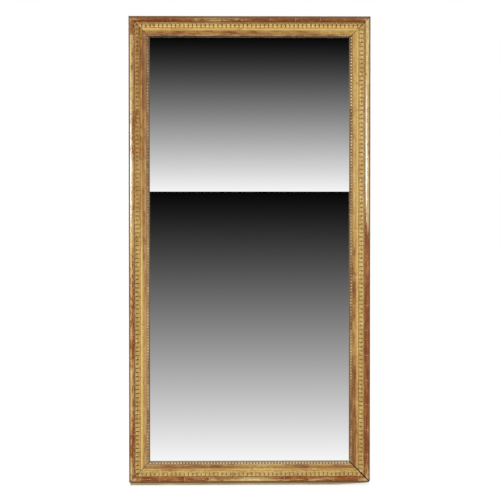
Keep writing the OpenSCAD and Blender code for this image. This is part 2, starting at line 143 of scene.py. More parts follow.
# Water gilding: gold leaf on red bole and gesso, burnished, then rubbed by two hundred years of dusting
# and sealed by a thin coat of size. The leaf is warm and soft, red shows on what stands proud, brown
# stays in the hollows, and the size gives the pale gleam along the torus, widened by a painted highlight.
# Painted shade darkens the outer flank of the torus, the top quirk and the sloping sight edge. Limits and
# shares are of noise that runs from 0 to 1.
gilding = {
    "leaf": {"torus": ("#DCC27C", "#AC8848"), "leaf": ("#DEC280", "#A98546"),
             "hollow": ("#D4B770", "#A9823C"), "pearl": ("#E6D2A6", "#A88C60")},   # pale and deep
    "leafTones": (0.38, 0.62), "toneShares": (0.4, 0.6, 0.12),   # of streaks, blotches and what is kept
    "thinLeaf": "#A97A38", "thinBefore": 0.3, "thinMost": 0.6,   # worn thin before it is bare
    "gesso": "#D8C4A4", "dirt": "#7A5A30", "mitreDirt": "#3F2A14",
    # dust colours; on the torus the pale colour is a painted highlight that widens the gleam of the size
    "dust": {"torus": "#E6D7C3", "leaf": "#CDB795", "hollow": "#CDB795", "pearl": "#CDB795"},
    "bevel": {"top": "#150D06", "bottom": "#97866F", "left": "#6E6252", "right": "#6A604F"},  # painted shade on the sloping sight edge at the glass, darkest on the top run, which faces down
    "bole": {"torus": ("#C67A2E", "#8A3E12"), "leaf": ("#B0723D", "#8F5629"),
             "hollow": ("#B97A42", "#8F5224"), "pearl": ("#B08355", "#8A5A36")},   # pale and dark
    "boleTones": (0.42, 0.66), "boleShares": (0.5, 0.25, 0.25),   # of streaks, wear and patches
    "chips": (0.6, 0.75), "chipShow": 0.6,   # where the bole has chipped, the gesso shows
    # from whole leaf to bare
    "edge": {"torus": (0.44, 0.58), "leaf": (0.38, 0.66), "hollow": (0.34, 0.62), "pearl": (0.32, 0.66)},
    "proudWear": {"torus": 0.16, "leaf": 0.06, "hollow": -0.1, "pearl": 0.16},
    "keptWear": -0.34,     # the fillet and the bottoms of the hollows keep their leaf
    "size": {"torus": 1.0, "leaf": 0.25, "hollow": 0.15, "pearl": 0.3},   # weight of the coat
    "boleSize": 0.16,      # how much of the coat is left where the bole is bare
    "sizeRoughness": 0.16, "sizeIor": 1.7,
    "leafRoughness": {"torus": 0.5, "leaf": 0.6, "hollow": 0.62, "pearl": 0.5}, "boleRoughness": 0.65,
    "roughnessSwing": 0.2, "leafSpecular": 0.2,
    "eachLeaf": 0.22,      # how much the leaves differ in wear
    "leafWidth": 82,       # a leaf of gold, in mm; where two lap, a pale line shows
    "lapWidth": 3.4, "lapDrift": 12, "lapPhase": {"top": -14, "bottom": 50, "left": -35, "right": 20},
    "lapColour": "#E4D0A2", "lapShow": {"torus": 0.62, "leaf": 0.12, "hollow": 0.25, "pearl": 0},
    "lapBreaks": (0.36, 0.56), "lapMetal": 0.6,
    "patches": (46, 9, 3),    # rubbed patches: mm along the run and across it, and how much detail
    "blotches": (15, 4, 4),
    "streaks": (64, 1.7, 3),  # brush strokes in the bole
    "noiseRoughness": 0.55,
    "specks": 2.2,         # breaks in the leaf; 0.5 mm in truth, drawn coarser to show
    "noise": {"torus": (0.9, 1.25, 0.55, 0.45), "leaf": (1.1, 0.8, 0.55, 0.3),
              "hollow": (1.1, 0.8, 0.55, 0.3), "pearl": (1.1, 0.8, 0.55, 0.3)},   # strength of these four
    "cracks": (31, 125, 1), "crackWidth": 0.006, "crackDirt": 0.35,   # across the gesso
    "dirtUneven": 0.4, "mitreLine": 1.6,
    "relief": 0.4, "reliefShares": (0.5, -0.3, -0.3, 0.8), "bump": 0.35,   # specks, cracks, bare, blotches
    "seedMove": (3.7, 1.3, 0), "seedLeaves": 7,   # how far apart the runs draw their noise and their leaves
}

# How far the leaf is rubbed through, 0 to 1, at places from the left or from the top of each run.
rubbed = {
    "torus": {
        "left": [(0.2, 0.3), (0.4, 0.18), (0.56, 0.4), (0.65, 0.46), (0.71, 0.62), (0.77, 0.32), (0.85, 0.34),
                 (0.92, 0.58), (0.98, 0.25)],
        "right": [(0, 0.12), (0.1, 0.22), (0.2, 0.3), (0.4, 0.2), (0.46, 0.5), (0.55, 0.64), (0.63, 0.86),
                  (0.71, 0.92), (0.78, 0.68), (0.86, 0.7), (0.93, 0.95), (0.99, 0.4)],
        "top": [(0, 0.2), (0.07, 0.95), (0.2, 0.85), (0.34, 0.3), (0.44, 0.36), (0.56, 0.66), (0.8, 0.72),
                (0.93, 0.66), (1, 0.25)],
        "bottom": [(0, 0.2), (0.06, 0.5), (0.28, 0.52), (0.42, 0.38), (0.52, 0.02), (0.6, 0.35),
                   (0.75, 0.48), (0.93, 0.66), (1, 0.2)],
    },
    "leaf": {
        "left": [(0.16, 0.42), (0.24, 0.32), (0.34, 0.24), (0.42, 0.14), (0.5, 0)],
        "right": [(0, 0.06), (0.6, 0.1), (1, 0.18)],
        "top": [(0, 0.1), (1, 0.08)],
        "bottom": [(0, 0.12), (0.5, 0.08), (1, 0.16)],
    },
    "hollow": {
        "left": [(0, 0.45), (0.05, 0.66), (0.18, 0.68), (0.3, 0.52), (0.45, 0.44), (0.53, 0.3), (0.66, 0.25),
                 (0.71, 0.34), (0.77, 0.25), (1, 0.3)],
        "right": [(0, 0.12), (0.4, 0.2), (0.5, 0.34), (0.58, 0.5), (0.7, 0.5), (0.78, 0.62), (1, 0.68)],
        "top": [(0, 0.3), (0.1, 0.5), (0.2, 0.55), (0.5, 0.44), (0.57, 0.3), (0.72, 0.34), (0.84, 0.12),
                (1, 0.25)],
        "bottom": [(0, 0.42), (0.2, 0.62), (0.44, 0.36), (0.5, 0.12), (0.58, 0.15), (0.65, 0.42), (0.8, 0.54),
                   (1, 0.45)],
    },
    "pearl": {
        "left": [(0, 0.5), (0.4, 0.46), (0.6, 0.42)],
        "right": [(0, 0.42), (0.5, 0.52), (1, 0.58)],
        "top": [(0, 0.7), (0.5, 0.5), (1, 0.42)],
        "bottom": [(0, 0.12), (0.5, 0), (1, 0.1)],
    },
}

# How well the fillet and the tips of the leaves have kept their gold, at the same places.
keptAlong = {"left": [(0, 0.15), (0.44, 0.25), (0.52, 1)], "right": [(0, 1), (1, 1)],
             "top": [(0, 0.85), (1, 0.85)], "bottom": [(0, 0.45), (1, 0.45)]}


fieldNames = ("place", "proud", "kept", "dusty", "deep", "bevel", "end")   # what each point of a run knows


def makeGilding(member, side, seed):
    material, node = newMaterial(f"waterGilding{member.capitalize()}{side.capitalize()}")

    run = node("Attribute", attribute_name="run", out="Vector")  # along, inward and forward, in metres
    place, proud, kept, dusty, deep, bevel, end = [
        node("Attribute", attribute_name=field, out="Fac") for field in fieldNames]
    ownPart = tuple(seed * move for move in gilding["seedMove"])
    shifted = node("VectorMath", [run, ownPart], operation="ADD")

    def mottle(kind):  # noise stretched along the run, about 0.5
        long, wide, detail = gilding[kind]
        stretch = (metre / long, metre / wide, metre / wide)
        stretched = node("VectorMath", [shifted, stretch], operation="MULTIPLY")
        return node("TexNoise", {"Vector": stretched, "Scale": 1.0, "Detail": detail,
                                 "Roughness": gilding["noiseRoughness"]})

    def addUp(total, amounts, shares):
        for amount, share in zip(amounts, shares):
            total = node("Math", [amount, share, total], operation="MULTIPLY_ADD")
        return total

    patches, blotches, streaks = mottle("patches"), mottle("blotches"), mottle("streaks")
    specks = node("TexNoise", {"Vector": shifted, "Scale": metre / gilding["specks"], "Detail": 2.0})
    blotchSwing = node("Math", [blotches, 0.5], operation="SUBTRACT")

    # the leaves of gold lie side by side along the run, and each has worn in its own way
    drift = node("Math", [blotchSwing, gilding["lapDrift"] * mm, gilding["lapPhase"][side] * mm],
                 operation="MULTIPLY_ADD")
    along = node("Math", [node("SeparateXYZ", [run]), drift], operation="ADD")
    leaves = node("Math", [along, gilding["leafWidth"] * mm], operation="DIVIDE")
    leafNumber = node("Math", [leaves], operation="FLOOR")
    drawn = node("Math", [leafNumber, seed * gilding["seedLeaves"] + 0.5], operation="ADD")
    ownWear = node("TexWhiteNoise", {"W": drawn}, out="Value", noise_dimensions="1D")
    ownWear = node("Math", [ownWear, 0.5], operation="SUBTRACT")
    fromLap = node("Math", [along, gilding["leafWidth"] / 2 * mm], operation="PINGPONG")
    lap = node("MapRange", [fromLap, gilding["lapWidth"] / 2 * mm, 0], **smoothly)
    broken = node("MapRange", [blotches, *gilding["lapBreaks"]], **smoothly)
    for share in (broken, gilding["lapShow"][member]):
        lap = node("Math", [lap, share], operation="MULTIPLY")

    # how far the leaf is rubbed through, and where it is bare
    rub = node("ValToRGB", {"Fac": place}, stops=rubbed[member][side])
    keptHere = node("ValToRGB", {"Fac": place}, stops=keptAlong[side])
    kept = node("Math", [kept, keptHere], operation="MULTIPLY")
    rub = addUp(rub, (proud, kept, ownWear),
                (gilding["proudWear"][member], gilding["keptWear"], gilding["eachLeaf"]))
    swings = [node("Math", [noise, 0.5], operation="SUBTRACT")
              for noise in (patches, blotches, streaks, specks)]
    rub = addUp(rub, swings, gilding["noise"][member])
    low, high = gilding["edge"][member]
    bare = node("MapRange", [rub, low, high], **smoothly)
    thin = node("MapRange", [rub, low - gilding["thinBefore"], low, 0, gilding["thinMost"]], **smoothly)

    # the bole under the leaf, with gesso where it has chipped
    darkBole = addUp(0.0, (streaks, rub, patches), gilding["boleShares"])
    darkBole = node("MapRange", [darkBole, *gilding["boleTones"]], **smoothly)
    chipped = node("MapRange", [specks, *gilding["chips"], 0, gilding["chipShow"]], **smoothly)
    bole, boleDark = gilding["bole"][member]
    bole = node("Mix", {"Factor": darkBole, "A": bole, "B": boleDark}, **inColour)
    bole = node("Mix", {"Factor": chipped, "A": bole, "B": gilding["gesso"]}, **inColour)

    # dust on what faces up, a painted highlight along the torus and a painted reflection in the left hollow;
    # dirt in the hollows, in the cracks of the gesso and in the mitres, and painted shade on the outer flank
    # of the torus and in the top quirk
    dust = node("Math", [blotches, 0.5], operation="ADD")
    dust = node("Math", [dusty, dust], operation="MULTIPLY")
    crack = node("Math", [mottle("cracks"), 0.5], operation="SUBTRACT")
    crack = node("Math", [crack], operation="ABSOLUTE")
    crack = node("MapRange", [crack, gilding["crackWidth"], 0], **smoothly)
    corner = node("MapRange", [end, gilding["mitreLine"] * mm, 0], **smoothly)
    dirt = node("Math", [crack, gilding["crackDirt"]], operation="MULTIPLY")
    dirt = node("Math", [deep, dirt], operation="MAXIMUM")
    uneven = gilding["dirtUneven"]
    uneven = node("Math", [specks, uneven, 1 - uneven / 2], operation="MULTIPLY_ADD")
    dirt = node("Math", [dirt, uneven], operation="MULTIPLY")

    # the layers, one over the other
    tone = addUp(0.0, (streaks, blotches, kept), gilding["toneShares"])
    tone = node("MapRange", [tone, *gilding["leafTones"]], **smoothly)
    leafPale, colour = gilding["leaf"][member]
    for amount, layer in (
            (tone, leafPale), (thin, gilding["thinLeaf"]), (bare, bole), (lap, gilding["lapColour"]),
            (dust, gilding["dust"][member]), (dirt, gilding["dirt"]), (corner, gilding["mitreDirt"]),
            (bevel, gilding["bevel"][side])):
        colour = node("Mix", {"Factor": amount, "A": colour, "B": layer}, **inColour)

    # gold shows its metal where no bare bole, dirt, painted shade or mitre line lies over it, and there the
    # size gleams most
    over = bevel
    for layer in (bare, dirt, corner):
        over = node("Math", [over, layer], operation="MAXIMUM")
    metal = node("Math", [1.0, over], operation="SUBTRACT")
    metal = node("Math", [lap, gilding["lapMetal"], metal], operation="MULTIPLY_ADD", use_clamp=True)
    rough = node("MapRange", [metal, 0, 1, gilding["boleRoughness"], gilding["leafRoughness"][member]])
    rough = node("Math", [blotchSwing, gilding["roughnessSwing"], rough], operation="MULTIPLY_ADD")
    weight = gilding["size"][member]
    coat = node("MapRange", [over, 0, 1, weight, weight * gilding["boleSize"]])
    relief = addUp(0.0, (specks, crack, bare, blotches), gilding["reliefShares"])
    bump = node("Bump", {"Height": relief, "Strength": gilding["bump"], "Distance": gilding["relief"] * mm})
    shader = node("BsdfPrincipled", {
        "Base Color": colour, "Metallic": metal, "Roughness": rough, "Normal": bump,
        "Specular IOR Level": gilding["leafSpecular"], "Coat Weight": coat,
        "Coat Roughness": gilding["sizeRoughness"], "Coat IOR": gilding["sizeIor"]})
    node("OutputMaterial", [shader])
    return material


# The gilded runs, each swept from its own section and mitred at both ends. Lists in square brackets are
# values at places along a run, as above. Other pairs are a start and an end in mm, or for a bell its
# middle and width.
torus = {
    "width": 19, "height": 22, "overhang": 0.8, "arcPoints": 25,
    "dents": 0.28, "dentLengths": (37, 61, 113, 23), "dentStretch": 4, "dentsFrom": (8, 13), "roundFrom": 10,
    "crest": (20.5, 22), "crestWear": 0.3,
    "flank": (13.8, 1.9), "flankWear": 1.5,   # the inner flank is worn along its length
    "flankAlong": {"right": [(0, 0.7), (0.18, 0.5), (0.22, -0.2), (0.38, -0.2), (0.44, 1)]},
    # Painted shade darkens the outer flank of the torus, and on the top run its whole outer half; dirt
    # darkens the inner edge and the foot. The shares are of these three.
    "outerDirt": dict.fromkeys(sides, (6.4, 4)) | {"top": (10.5, 6.5)},
    "innerDirt": (1.6, 0.4), "footDirt": (12, 8.5), "dirtShares": (0.95, 0.15, 0.4), "dirtMost": 0.9,
    # On the left and right runs a pale line along the torus is a painted highlight that widens the gleam of
    # the size.
    "dust": {"left": (7.5, [(0.17, 0), (0.24, 0.75), (0.4, 0.75), (0.47, 0)]),
             "right": (16, [(0.12, 0), (0.2, 0.95), (0.36, 0.95), (0.42, 0)])},   # a line of painted highlight, and how much
    "dustSpread": 3.6,
}
leafBand = {
    "start": 20, "width": 19, "outerHeight": 14.5, "innerHeight": 9.5, "pitch": 13.9, "outlineStep": 0.8,
    "quirkHeight": 8.18, "quirkFill": {"left": 6, "right": 4.2, "top": 4.2, "bottom": 5.6}, "quirkWall": 3,
    "carved": {"left": [(0.42, 0.85), (0.56, 1.6), (1, 1.9)], "top": [(0, 1.5), (1, 1.7)],
               "right": [(0, 0.8), (0.4, 0.7), (1, 0.85)], "bottom": [(0, 0.75), (1, 0.8)]},   # how crisply
    "keptTips": {"left": 0.45, "right": 0.1, "top": 1, "bottom": 1}, "tips": (31, 35),
    "shift": {"left": 0, "right": 1.4, "top": 3.6, "bottom": -0.5},
    "fadeFrom": 8, "fadeTo": {"left": 4, "right": 5, "top": 12, "bottom": 4.5},
    "grime": {"left": (0.6, 0), "right": (1, 0.1), "top": (1, 0), "bottom": (1, 0)},   # low down, all over
    "margin": {"left": 1, "right": 1, "top": 0.2, "bottom": 0.4}, "blunt": 1, "overlap": 0.6,
    "fullness": (0.86, 1.0), "drift": 0.35, "driftFrom": 2,   # no two leaves are quite alike
    "ribHeight": 3.4, "edgeHeight": 2.0, "roundness": 1.4, "sideSlope": (-0.1, 1.5), "tipSlope": (-0.2, 0.6),
    "scallop": ((-0.4, 2.4), (1.6, 2.6)),   # its start and end in the middle of a leaf, and how they curve
    "veinDepth": 0.75, "vein": (0, 0.7), "veinFrom": 3,
    "fluteDepth": 0.3, "flute": (3.1, 0.8),   # a shallow flute on each side of the vein
    "eyeOffset": 6.9, "eyeWidth": 3.6, "eyeLong": 1.5, "eyeDepth": 1.2, "eyeDrift": 0.4,
    "rimHeight": 0.35, "rim": (1.3, 0.75), "pit": (-0.9, 0.5), "eyeDirt": (-1.1, 0.6), "eyeDirtMost": 0.3,
    "dartLength": 5.5, "dartWidth": 3.4, "dartHeight": 2.2, "dartPoint": 0.3, "dartRise": 0.15,
    "dartFoot": (-0.1, 0.5),
    "lowDirt": (1.5, 2.2), "lowDirtTo": (34, 30), "lowDirtMost": 0.15,
    "gapDirt": 0.9, "gapDirtFrom": (1, 4), "gapDirtTo": (36, 32), "gapDirtMost": 0.2,
    "quirkDirt": (0.3, -1.5), "quirkDirtMost": 0.2, "topQuirkDust": (3, 0.6),
    "proudFrom": (2.2, 3.6), "wallDirt": 0.3,
}
hollow = {
    "width": 13.5, "footHeight": 6, "radius": 16, "lip": 3, "arcPoints": 13,
    "filletWidth": 6, "filletHeight": 12.3, "filletDrop": 1.4,
    "filletEdge": ((0.5, 0.02), (1.4, 0), (3, 0), (4.6, 0), (5.5, 0.25), (5.9, 0.7)),   # rounded by gesso
    "filletOuter": (0.6, 1.6), "filletInner": (0.4, -0.6), "keptTo": (5, 1),
    "waves": 0.22, "waveLengths": (43, 71, 131, 29), "waveStretch": 3, "wavesFrom": (5.5, 6.5),
    "wavesIn": (0.1, 1), "footDirt": {"left": 0.5}, "footDirtWidth": 2.2,
    "dust": {"left": (0.3, 18), "right": (0.12, 6), "top": (0, 1), "bottom": (0.5, 7)},   # how much dust, and how far; on the left run partly a pale painted reflection of the room
}
pearls = {
    "stripWidth": 10.5, "bed": 2.4, "diameter": 7.4, "pitch": 10, "sink": 2.6, "rings": 8, "spokes": 18,
    "smallest": 0.93, "drift": 0.25,   # carved by hand, so no two are quite alike
    "bevelWidth": 2.8, "bevelHeight": 2, "bedEdge": 0.8, "bedStart": 3.8, "crest": 3, "footDirt": (1.4, -0.8),
    # how high gesso fills the bed
    "clogged": {"left": [(0, 0.3), (0.4, 0.5), (0.52, 1.5), (1, 1.8)], "top": [(0, 3)], "bottom": [(0, 0)],
                "right": [(0, 0), (0.15, 0.4), (0.3, 1.2), (0.7, 1.5), (0.82, 3), (1, 3.3)]},
    "keptCrests": {"left": [(0, 4.5), (0.4, 2.6), (0.46, 1.2), (0.52, 0.7), (1, 0.8)],
                   "right": [(0, 1.5), (0.2, 1.2), (0.78, 0.9), (0.84, 0.1), (1, 0)],
                   "top": [(0, 0.5), (1, 0.3)], "bottom": [(0, 1), (0.3, 1.4), (0.45, 2.3)]},
    "bedDirt": {"left": [(0.4, 0.4), (0.55, 0.2)], "top": [(0, 0.2)],
                "right": [(0, 0.6), (0.15, 0.45), (0.4, 0.2), (1, 0.1)], "bottom": [(0, 0.55)]},
    # how strongly the sloping sight edge is painted in shade, and how far before the slope it starts, in mm
    "lostEdge": {"left": (0.9, 0.5), "right": (0.9, 0.5), "top": (1, 0.7), "bottom": (0.85, 0.3)},
    "dust": {"bottom": 0.3},
}
leafEnd = leafBand["start"] + leafBand["width"]
hollowStart = leafEnd + hollow["filletWidth"]
hollowEnd = hollowStart + hollow["width"]
runWidth = hollowEnd + pearls["stripWidth"]
mitreEase = 12     # dents and waves die out this far from a mitre, so that the runs meet
fanLength = 6      # how far before its mitre a run starts to slant
creaseAngle = 38   # in degrees; what bends less is shaded as round


def placeOf(side, points):  # 0 to 1 from the left, or from the top
    if side in ("top", "bottom"):
        return points[..., 0] / (frameSize["width"] * mm) + 0.5
    return (frameMiddle * mm - points[..., 2]) / (frameSize["height"] * mm) + 0.5


def byPlace(stops, place):  # a value that changes along a run, between its stops
    return np.interp(place, *zip(*stops))


def endOf(side, along, inward):  # distance from the nearest mitre, in metres
    half = sideLength(side) / 2 - inward
    return np.minimum(half - endGap(side, 1) - along, half - endGap(side, -1) + along) * mm


def newRun(name, points, faces, fields, run):
    mesh = bpy.data.meshes.new(name)
    mesh.from_pydata(points.tolist(), [], faces)
    for field, values in fields.items():
        values = np.broadcast_to(values, run.shape[:-1]).astype(np.float32).ravel()
        mesh.attributes.new(field, "FLOAT", "POINT").data.foreach_set("value", values)
    run = run.astype(np.float32).ravel()
    mesh.attributes.new("run", "FLOAT_VECTOR", "POINT").data.foreach_set("vector", run)
    mesh.polygons.foreach_set("use_smooth", [True] * len(mesh.polygons))
    mesh.set_sharp_from_angle(angle=math.radians(creaseAngle))
    return addObject(name, mesh)


def sweepRun(side, outline, step, shapeIt):
    length = sideLength(side)
    u0, v0 = np.array(outline).T
    plain = {end: length / 2 - u0.max() - endGap(side, end) - fanLength for end in (-1, 1)}
    count = math.ceil(sum(plain.values()) / step)
    columns = [np.tile(np.linspace(-plain[-1], plain[1], count + 1)[:, None], (1, len(u0)))]
    fan = np.linspace(0, 1, math.ceil((u0.max() - u0.min() + fanLength) / step) + 1)[1:, None]
    for end in (1, -1):  # the columns fan out to the slant of the mitre
        reach = length / 2 - u0 - endGap(side, end)
        part = end * (plain[end] + fan * (reach - plain[end]))
        columns = columns + [part] if end > 0 else [part[::-1]] + columns
    along = np.concatenate(columns)
    inward, forward, marks = shapeIt(along, np.tile(u0, (len(along), 1)), np.tile(v0, (len(along), 1)))
    points = toWorld(side, along, inward, forward)
    rows, ring = along.shape
    index = np.arange(rows * ring).reshape(rows, ring)
    turned = np.roll(index, -1, 1)
    quads = np.stack([index[:-1], turned[:-1], turned[1:], index[1:]], -1).reshape(-1, 4)
    faces = quads.tolist() + [index[0][::-1].tolist(), index[-1].tolist()]
    fields = dict.fromkeys(fieldNames, 0) | marks
    fields["place"], fields["end"] = placeOf(side, points), endOf(side, along, inward)
    return points.reshape(-1, 3), faces, fields, np.stack([along, inward, forward], -1) * mm


def torusOutline(side):
    r, over = torus["width"] / 2, torus["overhang"]
    foot = math.asin((r - over) / r)  # where the round meets the straight sides
    turns = np.linspace(foot - math.pi, math.pi - foot, torus["arcPoints"])
    arc = [(r + r * math.sin(t), torus["height"] - r + r * math.cos(t)) for t in turns[::-1]]
    return [(torus["width"] - over, 0)] + arc + [(over, 0)]


def shapeTorus(side, seed):
    def shapeIt(along, inward, forward):
        across, high = torus["width"] / 2, torus["height"] - torus["width"] / 2  # the middle of the round
        ease = smooth(forward, *torus["dentsFrom"]) * smooth(endOf(side, along, inward) / mm, 0, mitreEase)
        dent = 0.5 + 0.5 * ripple(along, inward * torus["dentStretch"], torus["dentLengths"], seed)
        reach = np.hypot(inward - across, forward - high) + 1e-6
        moved = np.where(forward > torus["roundFrom"], 1 - torus["dents"] * ease * dent / reach, 1)
        u = across + (inward - across) * moved
        v = high + (forward - high) * moved
        place = placeOf(side, toWorld(side, along, u, v))
        flank = bell(u, *torus["flank"]) * byPlace(torus["flankAlong"].get(side, [(0, 1)]), place)
        # the pale line of painted highlight along the torus
        dustLine, dustAlong = torus["dust"].get(side, (0, [(0, 0)]))
        dusty = bell(u, dustLine, torus["dustSpread"]) * byPlace(dustAlong, place)
        # painted shade on the outer flank, dirt on the inner edge and the foot
        innerDirt = [torus["width"] - depth for depth in torus["innerDirt"]]
        dirt = zip(torus["dirtShares"], (smooth(u, *torus["outerDirt"][side]), smooth(u, *innerDirt),
                                         smooth(v, *torus["footDirt"])))
        deep = np.clip(sum(share * amount for share, amount in dirt), 0, 1) * torus["dirtMost"]
        proud = smooth(v, *torus["crest"]) * torus["crestWear"] + flank * torus["flankWear"]
        return u, v, {"proud": proud, "deep": deep, "dusty": dusty}
    return shapeIt


def leafGround(u):
    fall = (leafBand["outerHeight"] - leafBand["innerHeight"]) / leafBand["width"]
    return leafBand["outerHeight"] - (u - leafBand["start"]) * fall


def leafOutline(side):
    foot, start = torus["width"] - torus["overhang"], leafBand["start"]
    quirk = leafBand["quirkHeight"] + leafBand["quirkFill"][side]  # gesso has clogged it
    steps = math.ceil(leafBand["width"] / leafBand["outlineStep"])
    front = [leafEnd - i * leafBand["outlineStep"] for i in range(steps)]
    front = [(u, leafGround(u)) for u in front if u > start + 0.3] + [(start, leafGround(start))]
    wall = [(start, quirk + leafBand["quirkWall"]), (start, quirk), (foot, quirk)]
    return [(foot, 0), (leafEnd, 0)] + front + wall


def shapeLeaves(side, seed):
    band = leafBand
    run = sideLength(side) - band["start"] - leafEnd
    count = int(run // band["pitch"])
    pitch = run / count
    cutEnds = 5  # leaves that the slant of a mitre can still meet
    draws = count + 2 * cutEnds + 2
    draw = np.random.default_rng(seed)
    fullness = draw.uniform(*band["fullness"], draws)
    drift = draw.uniform(-band["drift"], band["drift"], draws)
    eyeDrift = draw.uniform(-band["eyeDrift"], band["eyeDrift"], draws)
    start = band["start"]
    eyeLine = start + band["eyeOffset"] + band["shift"][side]
    tip = leafEnd - band["margin"][side]

    def shapeIt(along, u, forward):
        ground = leafGround(u)
        carved = byPlace(band["carved"][side], placeOf(side, toWorld(side, along, u, forward)))
        front = (u >= start - 0.01) & (forward > ground - 0.2)
        cell = np.floor(along / pitch + count / 2).astype(int)
        own = np.clip(cell + cutEnds, 0, draws - 1)
        x = along - (cell + 0.5 - count / 2) * pitch
        x = x - drift[own] * smooth(np.abs(x), pitch / 2, band["driftFrom"])
        q = np.clip(np.abs(x) / (pitch / 2), 0, 1)
        # the outline: whole along the outer edge, then a blunt arch down to the tip
        wide, long = pitch + band["overlap"], 2 * (tip - eyeLine + band["blunt"])
        r = (wide * wide + long * long) / (4 * wide)
        dy = np.clip(u - eyeLine, 0, long / 2)
        half = np.where(u < eyeLine, pitch, np.sqrt(r * r - dy * dy) - (r - wide / 2))
        inside = smooth(half - np.abs(x), *band["sideSlope"]) * smooth(tip - u, *band["tipSlope"])
        scallop = smooth(u - start - band["shift"][side], *(a + b * q ** 3 for a, b in band["scallop"]))
        lobe = band["edgeHeight"] + (band["ribHeight"] - band["edgeHeight"]) * (1 - q ** band["roundness"])
        vein = band["veinDepth"] * bell(x, *band["vein"]) * smooth(u, start + band["veinFrom"], eyeLine)
        flute = band["fluteDepth"] * bell(np.abs(x), *band["flute"])
        fade = smooth(u, tip + band["fadeTo"][side], start + band["fadeFrom"])
        rise = (lobe * fullness[own] - vein - flute) * inside * scallop * fade * carved
        # a dart in each gap
        gap = pitch / 2 - np.abs(x)
        t = np.clip((u - (tip - band["dartLength"])) / band["dartLength"], 0, 1)
        dartHalf = band["dartPoint"] + (band["dartWidth"] / 2 - band["dartPoint"]) * t
        dart = band["dartHeight"] * np.clip(1 - gap / dartHalf, 0, 1) * np.minimum(carved, 1)
        dart = dart * smooth(t, 0, band["dartRise"]) * smooth(tip - u, *band["dartFoot"])
        v = ground + np.maximum(rise, dart)
        # the drilled eye between two leaves, with a raised rim
        nearest = np.round(along / pitch + count / 2).astype(int)
        off = eyeDrift[np.clip(nearest + cutEnds, 0, draws - 1)]
        eye = np.hypot(along - (nearest - count / 2) * pitch - off / 2, (u - eyeLine - off) / band["eyeLong"])
        eye = eye - band["eyeWidth"] / 2
        v = v + band["rimHeight"] * bell(eye, *band["rim"]) * inside
        bottom = ground - band["eyeDepth"]
        v = bottom + (v - bottom) * smooth(eye, *band["pit"])
        # dirt in what lies low, in the eyes, in the gaps and in the quirk, and painted shade with dirt in the
        # top quirk
        above, within = band["lowDirt"]
        deep = np.clip((ground + above - v) / within, 0, 1) * band["lowDirtMost"]
        deep = deep * smooth(u, *band["lowDirtTo"])
        deep = np.maximum(deep, band["eyeDirtMost"] * (1 - smooth(eye, *band["eyeDirt"])))
        gapDirt = smooth(u - eyeLine, *band["gapDirtFrom"]) * smooth(u, *band["gapDirtTo"])
        gapDirt = gapDirt * smooth(gap, band["gapDirt"], 0) * band["gapDirtMost"]
        inHollows, allOver = band["grime"][side]
        deep = np.maximum(deep, gapDirt) * carved * inHollows + allOver
        if side == "top":  # painted shade, with dirt, darkens the quirk here
            quirk = smooth(u - start, *band["topQuirkDust"])
        else:
            quirk = smooth(u - start, *band["quirkDirt"]) * band["quirkDirtMost"]
        v = np.where(front, v, forward)
        return u, v, {"proud": np.where(front, smooth(v - ground, *band["proudFrom"]), 0),
                      "kept": smooth(u, *band["tips"]) * band["keptTips"][side],
                      "deep": np.where(front, np.maximum(deep, quirk), band["wallDirt"])}
    return shapeIt


def hollowOutline(side):
    start, end = (hollowStart, hollow["filletHeight"]), (hollowEnd, hollow["footHeight"])
    span = math.hypot(end[0] - start[0], end[1] - start[1])
    away = ((start[1] - end[1]) / span, (end[0] - start[0]) / span)
    sag = math.sqrt(hollow["radius"] ** 2 - span ** 2 / 4)
    middle = [(a + b) / 2 + w * sag for a, b, w in zip(start, end, away)]
    turns = [math.atan2(p[1] - middle[1], p[0] - middle[0]) for p in (end, start)]
    arc = [(middle[0] + hollow["radius"] * math.cos(t), middle[1] + hollow["radius"] * math.sin(t))
           for t in np.linspace(*turns, hollow["arcPoints"])]
    height = hollow["filletHeight"]
    top = [(hollowStart - x, height - drop) for x, drop in hollow["filletEdge"]]
    return ([(leafEnd, 0), (runWidth, 0), (runWidth, hollow["lip"]), (hollowEnd, hollow["lip"])]
            + arc + top + [(leafEnd, height - hollow["filletDrop"])])


def shapeHollow(side, seed):
    def shapeIt(along, inward, forward):
        ease = smooth(endOf(side, along, inward) / mm, 0, mitreEase)
        face = smooth(forward, *hollow["wavesFrom"]) * smooth(inward - leafEnd, *hollow["wavesIn"])
        wave = 0.5 + 0.5 * ripple(along, inward * hollow["waveStretch"], hollow["waveLengths"], seed)
        howDusty, howFar = hollow["dust"][side]
        proud = smooth(inward - leafEnd, *hollow["filletOuter"])
        proud = proud * smooth(inward - hollowStart, *hollow["filletInner"])
        foot = smooth(inward, hollowEnd - hollow["footDirtWidth"], hollowEnd)
        return inward, forward - hollow["waves"] * wave * ease * face, {
            "proud": proud, "kept": smooth(inward - hollowStart, *hollow["keptTo"]),
            "dusty": smooth(inward, hollowEnd - howFar, hollowEnd) * howDusty,
            "deep": foot * hollow["footDirt"].get(side, 0)}
    return shapeIt


def pearlOutline(side):
    low, high = hollow["lip"], hollow["lip"] + pearls["bed"]
    inner = runWidth - pearls["bevelWidth"]
    lowest = high - pearls["bevelHeight"]
    return [(hollowEnd, low), (runWidth, low), (runWidth, lowest),
            (runWidth - pearls["bevelWidth"] / 2, (lowest + high) / 2), (inner, high),
            (inner - pearls["bedEdge"], high), (hollowEnd + pearls["bedStart"], high), (hollowEnd, high)]


